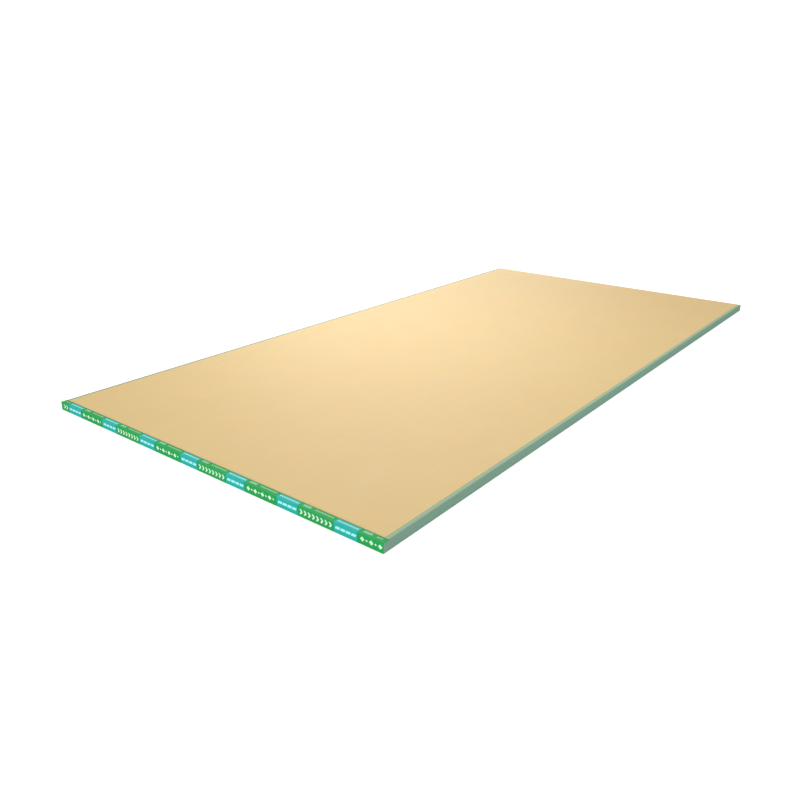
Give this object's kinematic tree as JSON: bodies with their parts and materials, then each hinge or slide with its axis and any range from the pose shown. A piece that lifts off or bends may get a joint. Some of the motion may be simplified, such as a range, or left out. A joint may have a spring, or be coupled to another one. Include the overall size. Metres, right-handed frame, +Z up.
{
  "type": "drywall sheet",
  "caption": "Flat moisture-resistant drywall sheet lying back up: gypsum slab, green face paper folded round the long edges, tan back paper, printed tape round a short end.",
  "frame": {"origin": "centre of the sheet's outline, on the floor it lies on", "axes": "+X across the sheet, +Y along its length away from the taped end, +Z up out of the back paper"},
  "size_m": [1.2, 2.4, 0.025],
  "materials": {
    "gypsum": "dull, sawn, finely porous",
    "green_paper": "matt green-grey board paper",
    "tan_paper": "matt tan kraft board paper with fine fibres along the sheet",
    "tape_paper": "smooth coated paper printed in green and teal with pale marks"
  },
  "bodies": {
    "root": {"gypsum_core": "gypsum", "face_paper": "green_paper", "back_paper": "tan_paper", "end_tape": "tape_paper"}
  },
  "joints": []
}
